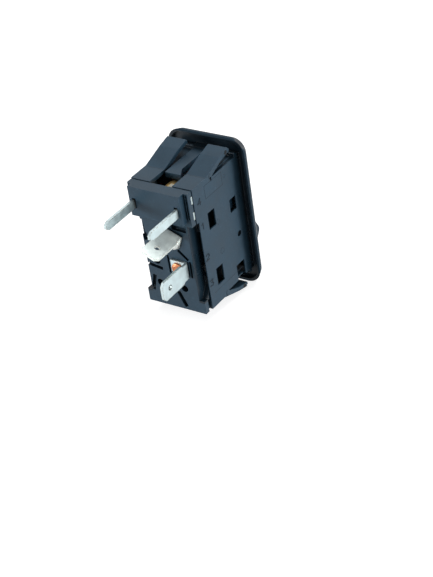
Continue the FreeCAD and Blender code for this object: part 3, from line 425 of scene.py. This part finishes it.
def plated_sheet(name, plate, base, rough, worn_reach=0.9, metallic=0.85):
    """Thin plating on sheet metal, worn through along its sheared edges, with painted shade
    darkening its holes and recesses.
    """
    material, tree, shader = new_material(name)
    shader.inputs["Metallic"].default_value = metallic
    edge = use_group(tree, SOFT_EDGE, Radius=0.00014, Gain=3.0)
    rub = use_group(tree, SOFT_EDGE, Radius=0.00045, Gain=5.0)["Mask"]
    cloud = use_group(tree, PATCHES, Scale=420.0, Low=0.3, High=0.7)["Mask"]
    chips = use_group(tree, PATCHES, Scale=1500.0, Low=0.38, High=0.58)["Mask"]
    shaded_recess = use_group(tree, RECESS_SHADE, Reach=0.002, Open=0.82, Deep=0.35)["Mask"]
    bare = math_node(tree, "MULTIPLY", math_node(tree, "MULTIPLY", rub, chips), worn_reach)

    colour = blend_colour(tree, cloud, tone(plate, CLOUD_TONE), plate)
    colour = blend_colour(tree, bare, colour, base)
    # Holes and recesses take a dark tone of the base metal as painted shade.
    hollow_shade = spread(tree, shaded_recess, 0.0, HOLLOW_SHADE_COVER)
    colour = blend_colour(tree, hollow_shade, colour, tone(base, HOLLOW_SHADE_TONE))
    tree.links.new(colour, shader.inputs["Base Color"])
    finish = spread(tree, cloud, rough - 0.06, rough + 0.08)
    tree.links.new(finish, shader.inputs["Roughness"])
    grain = use_group(tree, GRAIN, Grain_Scale=2600.0, Swell=1.2)["Height"]
    roughen(tree, shader, grain, strength=0.35, depth=0.00005, edge=edge)
    return material


def rivet_copper():
    """Upset copper with the rings that the rolling tool leaves about the rivet's axis."""
    material, tree, shader = new_material("rivet_copper")
    shader.inputs["Metallic"].default_value = 1.0
    shader.inputs["Roughness"].default_value = 0.36
    low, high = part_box("load_rivet")
    edge = use_group(tree, SOFT_EDGE, Radius=0.0002, Gain=2.0)
    rings = use_group(tree, TURNED_RINGS, Centre_X=(low[0] + high[0]) / 2,
                      Centre_Z=(low[2] + high[2]) / 2, Pitch=0.00052)["Height"]
    cloud = use_group(tree, PATCHES, Scale=1300.0, Low=0.4, High=0.65)["Mask"]
    colour = blend_colour(tree, cloud, (0.64, 0.29, 0.15), (0.50, 0.19, 0.09))
    dark = spread(tree, rings, 0.75, 0.0)
    colour = blend_colour(tree, dark, colour, (0.24, 0.075, 0.035))
    tree.links.new(colour, shader.inputs["Base Color"])
    roughen(tree, shader, rings, strength=0.6, depth=0.00008, edge=edge)
    return material


def nylon(name, colour, rough):
    """Undyed moulding that lets a little light in."""
    material, tree, shader = new_material(name)
    edge = use_group(tree, SOFT_EDGE, Radius=0.0002, Gain=2.0)
    drift = use_group(tree, PATCHES, Scale=250.0, Low=0.35, High=0.7)["Mask"]
    tree.links.new(blend_colour(tree, drift, colour, tone(colour, CLOUD_TONE)),
                   shader.inputs["Base Color"])
    shader.inputs["Roughness"].default_value = rough
    shader.inputs["Subsurface Weight"].default_value = 0.15
    shader.inputs["Subsurface Radius"].default_value = (0.001, 0.0008, 0.0006)
    grain = use_group(tree, GRAIN)["Height"]
    roughen(tree, shader, grain, strength=0.15, depth=0.00003, edge=edge)
    return material


def dyed_lens():
    """Clear dyed plastic over the bulb, frosted a little by its grain."""
    material, tree, shader = new_material("dyed_lens")
    edge = use_group(tree, SOFT_EDGE, Radius=0.0003, Gain=2.0)
    drift = use_group(tree, PATCHES, Scale=90.0, Low=0.2, High=0.8)["Mask"]
    colour = blend_colour(tree, drift, (0.50, 0.014, 0.011), (0.45, 0.012, 0.010))
    worn = spread(tree, edge["Mask"], 0.0, 0.5)
    colour = blend_colour(tree, worn, colour, (0.62, 0.05, 0.04))
    tree.links.new(colour, shader.inputs["Base Color"])
    shader.inputs["Roughness"].default_value = 0.14
    shader.inputs["Transmission Weight"].default_value = 0.45
    shader.inputs["IOR"].default_value = 1.49
    flow = use_group(tree, GRAIN, Grain_Scale=700.0, Swell=1.6)["Height"]
    roughen(tree, shader, flow, strength=0.05, depth=0.00002, edge=edge)
    return material


def bulb_glass():
    """Thin blown glass with slow waves."""
    material, tree, shader = new_material("bulb_glass")
    shader.inputs["Base Color"].default_value = (0.96, 0.98, 0.98, 1.0)
    shader.inputs["Roughness"].default_value = 0.03
    shader.inputs["Transmission Weight"].default_value = 0.95
    shader.inputs["IOR"].default_value = 1.3
    edge = use_group(tree, SOFT_EDGE, Radius=0.0002, Gain=1.0)
    waves = use_group(tree, GRAIN, Grain_Scale=500.0, Swell=1.0)["Height"]
    roughen(tree, shader, waves, strength=0.05, depth=0.00003, edge=edge)
    return material


MATERIALS = {
    "housing": black_plastic("housing_plastic", (0.0140, 0.0380, 0.0620), (0.0210, 0.0500, 0.0790),
                             0.48, polish_and_shade_front=0.9),
    "base": black_plastic("base_plastic", (0.0140, 0.0380, 0.0620), (0.0195, 0.0470, 0.0750),
                          0.42, polish_and_shade_flanks=0.85),
    # Raised marks: their darker tone is painted shade.
    "mark_shade": black_plastic("cast_mark_plastic", (0.0050, 0.0130, 0.0210),
                               (0.0070, 0.0170, 0.0280), 0.55),
    "hole_shade": black_plastic("hole_shade_plastic", (0.0012, 0.0032, 0.0055),
                                (0.0016, 0.0040, 0.0070), 0.55),
    # The collar ridges' paler tone is a painted highlight.
    "ridge_highlight": black_plastic("rubbed_plastic", (0.0400, 0.0640, 0.0880), (0.0520, 0.0780, 0.1020),
                            0.40),
    "rocker": black_plastic("rocker_plastic", (0.0080, 0.0230, 0.0400), (0.0110, 0.0270, 0.0450),
                            0.30),
    "tin": plated_sheet("tinned_brass", (0.54, 0.65, 0.67), (0.22, 0.175, 0.12), 0.44),
    # A paler copy of the tin for the supply terminal: the paler colour is painted light on its
    # blade, and being less metallic and rougher it is also matte.
    "lit_matte_tin": plated_sheet("lit_matte_tin", (0.88, 0.97, 0.94), (0.34, 0.29, 0.21), 0.50,
                                metallic=0.6),
    "spring_brass": plated_sheet("spring_brass", (0.80, 0.56, 0.24), (0.42, 0.27, 0.11), 0.32),
    "silver": plated_sheet("contact_silver", (0.86, 0.86, 0.84), (0.45, 0.40, 0.34), 0.26),
    "steel": plated_sheet("spring_steel", (0.50, 0.51, 0.52), (0.22, 0.21, 0.20), 0.30),
    "dark_steel": plated_sheet("pin_steel", (0.085, 0.095, 0.105), (0.20, 0.20, 0.20), 0.38),
    "copper": rivet_copper(),
    "tinned_rivet": plated_sheet("tinned_rivet", (0.66, 0.70, 0.68), (0.38, 0.18, 0.11), 0.46,
                                 worn_reach=1.0),
    "cream": nylon("cream_nylon", (0.74, 0.66, 0.47), 0.42),
    "aged_cream": nylon("aged_cream_nylon", (0.36, 0.35, 0.28), 0.48),
    "lens": dyed_lens(),
    "glass": bulb_glass(),
}

NODE_FINISH = {
    "housing": "housing", "terminal_base": "base", "rocker": "rocker", "indicator_lens": "lens",
    "pivot_pin": "dark_steel", "plunger": "cream", "plunger_spring": "steel",
    "contact_lever": "spring_brass", "moving_contact": "silver", "fixed_contact": "silver",
    "fulcrum_bracket": "spring_brass", "load_rivet": "copper", "supply_rivet": "tinned_rivet",
    "load_terminal": "tin", "supply_terminal": "lit_matte_tin", "lamp_terminal_left": "tin",
    "lamp_terminal_right": "tin", "cap_contact_spring": "spring_brass",
    "tip_contact_spring": "spring_brass", "bulb_cap": "spring_brass", "bulb_glass": "glass",
    "bulb_holder": "aged_cream",
}

for node, finish in NODE_FINISH.items():
    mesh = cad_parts[node].data
    mesh.materials.clear()
    mesh.materials.append(MATERIALS[finish])


def finish_piece(name, bm, material, body="body", smooth_angle=None):
    """A new mesh piece in millimetres, turned to metres, that rides on a body."""
    bmesh.ops.recalc_face_normals(bm, faces=bm.faces)
    bmesh.ops.scale(bm, vec=(MM, MM, MM), verts=bm.verts)
    mesh = bpy.data.meshes.new(name)
    bm.to_mesh(mesh)
    bm.free()
    piece = bpy.data.objects.new(name, mesh)
    bpy.context.scene.collection.objects.link(piece)
    mesh.materials.append(MATERIALS[material])
    if smooth_angle:
        mesh.shade_smooth()
        mesh.set_sharp_from_angle(angle=math.radians(smooth_angle))
    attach(piece, body)
    return piece


def bridge(bm, lower, upper):
    """Faces between two closed rings of as many vertices."""
    for place in range(len(lower)):
        after = (place + 1) % len(lower)
        bm.faces.new((lower[place], lower[after], upper[after], upper[place]))


def circle(y, z, radius, sides):
    """Points about a middle in a plane across X."""
    turns = [turn * math.tau / sides for turn in range(sides)]
    return [(y + radius * math.cos(turn), z + radius * math.sin(turn)) for turn in turns]


def closed_line(points, width):
    """Bars for lay_bars that go round from point to point."""
    return [(point, points[(place + 1) % len(points)], width) for place, point in enumerate(points)]


def lay_bars(name, bars, rise, wall):
    """Raised lines on a side wall, dark with painted shade: each bar runs between two (y, z) points
    and has a width.
    """
    bm = bmesh.new()
    outward = Vector((math.copysign(rise, wall), 0.0, 0.0))
    for (y0, z0), (y1, z1), width in bars:
        along = Vector((0.0, y1 - y0, z1 - z0)).normalized() * (width / 2)
        across = Vector((0.0, -along.z, along.y))
        start, end = Vector((wall, y0, z0)) - along, Vector((wall, y1, z1)) + along
        foot = [start - across, end - across, end + across, start + across]
        crown = [corner + outward - CROWN_INSET * (corner - middle)
                 for corner, middle in zip(foot, (start, end, end, start))]
        low = [bm.verts.new(corner) for corner in foot]
        top = [bm.verts.new(corner) for corner in crown]
        bm.faces.new(top)
        bridge(bm, low, top)
    finish_piece(name, bm, "mark_shade")


def lay_strip(name, low, high, rounding, material):
    """A straight strip between two corners with rounded edges."""
    bm = bmesh.new()
    bmesh.ops.create_cube(bm, size=1.0)
    bmesh.ops.scale(bm, vec=[top - bottom for bottom, top in zip(low, high)], verts=bm.verts)
    middle = [(bottom + top) / 2 for bottom, top in zip(low, high)]
    bmesh.ops.translate(bm, vec=middle, verts=bm.verts)
    bmesh.ops.bevel(bm, geom=bm.edges, offset=rounding, segments=2, affect="EDGES")
    finish_piece(name, bm, material, smooth_angle=SMOOTH_ANGLE)


DIGIT_LINES = {
    "1": (((0.15, 0.8), (0.5, 1.0)), ((0.5, 1.0), (0.5, 0.0))),
    "2": (((0.0, 0.85), (0.2, 1.0)), ((0.2, 1.0), (0.6, 1.0)), ((0.6, 1.0), (0.8, 0.8)),
          ((0.8, 0.8), (0.8, 0.6)), ((0.8, 0.6), (0.0, 0.0)), ((0.0, 0.0), (0.8, 0.0))),
    "3": (((0.0, 1.0), (0.8, 1.0)), ((0.8, 1.0), (0.4, 0.58)), ((0.4, 0.58), (0.7, 0.5)),
          ((0.7, 0.5), (0.8, 0.25)), ((0.8, 0.25), (0.6, 0.0)), ((0.6, 0.0), (0.0, 0.05))),
    "4": (((0.6, 0.0), (0.6, 1.0)), ((0.6, 1.0), (0.0, 0.3)), ((0.0, 0.3), (0.8, 0.3))),
}


def make_terminal_numbers():
    """Plain numbers on the side wall, one beside each terminal, read with the lamp end up."""
    for digit, level in NUMBER_LEVELS:
        bars = []
        for line in DIGIT_LINES[digit]:
            ends = [(NUMBER_START - across * NUMBER_SIZE, level + up * NUMBER_SIZE)
                    for across, up in line]
            bars.append((*ends, NUMBER_STROKE))
        lay_bars(f"terminal_number_{digit}", bars, NUMBER_RISE, WALL_X)


def make_mould_lines():
    """The fine lines where an insert of the mould met the side wall, and the gate's line."""
    lay_bars("insert_outline", closed_line(INSERT_CORNERS, INSERT_STROKE), MOULD_LINE_RISE, WALL_X)
    lay_bars("gate_line", [(*GATE_ENDS, GATE_STROKE)], MOULD_LINE_RISE, WALL_X)


def make_ejector_marks():
    """Shallow rings that the mould's ejector pins leave on the side wall."""
    for index, (y, z, radius) in enumerate(EJECTOR_PINS):
        ring = closed_line(circle(y, z, radius, EJECTOR_SIDES), EJECTOR_STROKE)
        lay_bars(f"ejector_ring_{index + 1}", ring, EJECTOR_RISE, WALL_X)


def make_arm_marks():
    """At each snap arm: the collar's ridge, paler as a painted highlight, and the fold line and the
    slit's round end, dark with painted shade.
    """
    for place, out, up in ARMS:
        x0, x1 = sorted((out * ARM_INNER, out * ARM_OUTER))
        z0, z1 = sorted((up * (HALF_HEIGHT - RIDGE_HALF), up * (HALF_HEIGHT + RIDGE_HALF)))
        lay_strip(f"collar_ridge_{place}", (x0, RIDGE_FRONT, z0), (x1, RIDGE_BACK, z1),
                  RIDGE_ROUNDING, "ridge_highlight")
        z0, z1 = sorted((up * (HALF_HEIGHT - FOLD_SUNK), up * (HALF_HEIGHT + FOLD_PROUD)))
        lay_strip(f"fold_line_{place}", (x0, FOLD_FRONT, z0), (x1, FOLD_BACK, z1),
                  FOLD_ROUNDING, "mark_shade")
        points = [(SLIT_Y + SLIT_RADIUS * math.cos(math.radians(turn)),
                   up * (SLIT_Z + SLIT_RADIUS * math.sin(math.radians(turn))))
                  for turn in SLIT_TURNS]
        bars = [(before, after, SLIT_STROKE) for before, after in zip(points, points[1:])]
        lay_bars(f"slit_end_{place}", bars, SLIT_RISE, -out * WALL_X)


def make_cored_holes():
    """A raised lip round a nearly flat, near-black floor on the flank of each snap arm's tip, where
    a core pin leaves a small round hole: the dark floor is painted shade standing in for the hole.
    """
    profile = ((CORED_LIP, 0.0), (CORED_LIP - CORED_CHAMFER, CORED_PROUD),
               (CORED_RADIUS, CORED_PROUD), (CORED_RADIUS - CORED_CHAMFER, CORED_FLOOR))
    for place, out, up in ARMS:
        bm = bmesh.new()
        rings = []
        for reach, proud in profile:
            rings.append([bm.verts.new((out * (-WALL_X + proud), y, z))
                          for y, z in circle(CORED_Y, up * CORED_Z, reach, CORED_SIDES)])
        for outer, inner in zip(rings, rings[1:]):
            bridge(bm, outer, inner)
        bm.faces.new(rings[-1])
        finish_piece(f"cored_hole_{place}", bm, "hole_shade", smooth_angle=SMOOTH_ANGLE)


def make_plunger_spring():
    """Round wire in the rocker's bore, which rides on the rocker in place of the hidden plunger
    spring.
    """
    along = Vector((0.0, math.cos(STEM_TILT), -math.sin(STEM_TILT)))
    sideways = Vector((1.0, 0.0, 0.0))
    across = along.cross(sideways)
    foot = STEM_PIVOT + BORE_FLOOR * along
    steps = COIL_TURNS * COIL_STEPS
    bm = bmesh.new()
    rings = []
    for step in range(steps + 1):
        turn = math.tau * step / COIL_STEPS
        outward = math.cos(turn) * sideways + math.sin(turn) * across
        rise = WIRE_RADIUS + (COIL_LENGTH - 2 * WIRE_RADIUS) * step / steps
        middle = foot + rise * along + COIL_RADIUS * outward
        ring = []
        for side in range(WIRE_SIDES):
            angle = math.tau * side / WIRE_SIDES
            off_middle = math.cos(angle) * outward + math.sin(angle) * along
            ring.append(bm.verts.new(middle + WIRE_RADIUS * off_middle))
        rings.append(ring)
    for lower, upper in zip(rings, rings[1:]):
        bridge(bm, lower, upper)
    bm.faces.new(rings[0])
    bm.faces.new(rings[-1])
    coil = finish_piece("plunger_coil", bm, "steel", body="rocker",
                        smooth_angle=COIL_SMOOTH_ANGLE)
    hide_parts("plunger_spring")
    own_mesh(coil)


def seen_directly(tree):
    """1 for what the camera sees itself, in a polished surface or through glass."""
    path = tree.nodes.new("ShaderNodeLightPath")
    seen = math_node(tree, "MAXIMUM", path.outputs["Is Camera Ray"], path.outputs["Is Glossy Ray"])
    return math_node(tree, "MAXIMUM", seen, path.outputs["Is Transmission Ray"])


def make_stage():
    """A pale floor that reads white to the camera and still takes the switch's shadow."""
    level = cad_box[0][2] - FLOOR_GAP
    corners = [(x * FLOOR_HALF, y * FLOOR_HALF, level)
               for x, y in ((-1, -1), (1, -1), (1, 1), (-1, 1))]
    mesh = bpy.data.meshes.new("floor")
    mesh.from_pydata(corners, [], [(0, 1, 2, 3)])
    floor = bpy.data.objects.new("floor", mesh)
    bpy.context.scene.collection.objects.link(floor)
    material, tree, shader = new_material("floor_paper")
    shader.inputs["Base Color"].default_value = (0.60, 0.60, 0.60, 1.0)
    shader.inputs["Roughness"].default_value = 0.85
    shader.inputs["Specular IOR Level"].default_value = 0.0
    shader.inputs["Emission Color"].default_value = (1.0, 1.0, 1.0, 1.0)
    glow = spread(tree, seen_directly(tree), 0.0, FLOOR_GLOW)
    tree.links.new(glow, shader.inputs["Emission Strength"])
    fibre = use_group(tree, PATCHES, Scale=60.0, Low=0.2, High=0.8)["Mask"]
    roughen(tree, shader, fibre, strength=0.02, depth=0.0002)
    mesh.materials.append(material)


def make_world():
    """A white backdrop that lights the scene less than it shows."""
    world = bpy.data.worlds.new("studio")
    bpy.context.scene.world = world
    world.use_nodes = True
    tree = world.node_tree
    backdrop = tree.nodes["Background"]
    backdrop.inputs["Color"].default_value = (1.0, 1.0, 1.0, 1.0)
    strength = spread(tree, seen_directly(tree), WORLD_LIGHT, WORLD_SEEN)
    tree.links.new(strength, backdrop.inputs["Strength"])


def make_lights():
    """Soft boxes round the switch."""
    for name, (place, size, watts) in LIGHTS.items():
        light = bpy.data.lights.new(name, "AREA")
        light.shape = "RECTANGLE"
        light.size, light.size_y = size
        light.energy = watts
        lamp = bpy.data.objects.new(name, light)
        bpy.context.scene.collection.objects.link(lamp)
        lamp.location = Vector(place)
        aim = Vector(LIGHT_TARGET) - Vector(place)
        lamp.rotation_euler = aim.to_track_quat("-Z", "Y").to_euler()


def make_camera():
    """The camera stands where the photograph was taken from."""
    camera = bpy.data.cameras.new("camera")
    camera.sensor_fit = "AUTO"
    camera.sensor_width = 36.0
    camera.lens = 91.6
    camera.clip_start = 0.01
    holder = bpy.data.objects.new("camera", camera)
    bpy.context.scene.collection.objects.link(holder)
    azimuth, elevation, roll = (math.radians(turn) for turn in CAMERA_TURN)
    back = Vector((math.sin(azimuth) * math.cos(elevation),
                   -math.cos(azimuth) * math.cos(elevation), math.sin(elevation)))
    level = Vector((math.cos(azimuth), math.sin(azimuth), 0.0))
    upright = back.cross(level)
    right = level * math.cos(roll) + upright * math.sin(roll)
    up = upright * math.cos(roll) - level * math.sin(roll)
    turned = Matrix((right, up, back)).transposed().to_4x4()
    holder.matrix_world = Matrix.Translation(CAMERA_EYE * MM) @ turned
    bpy.context.scene.camera = holder


make_arm_marks()
make_cored_holes()
make_plunger_spring()
make_terminal_numbers()
make_mould_lines()
make_ejector_marks()
make_stage()
make_world()
make_lights()
make_camera()
bpy.context.scene.view_settings.view_transform = "Standard"
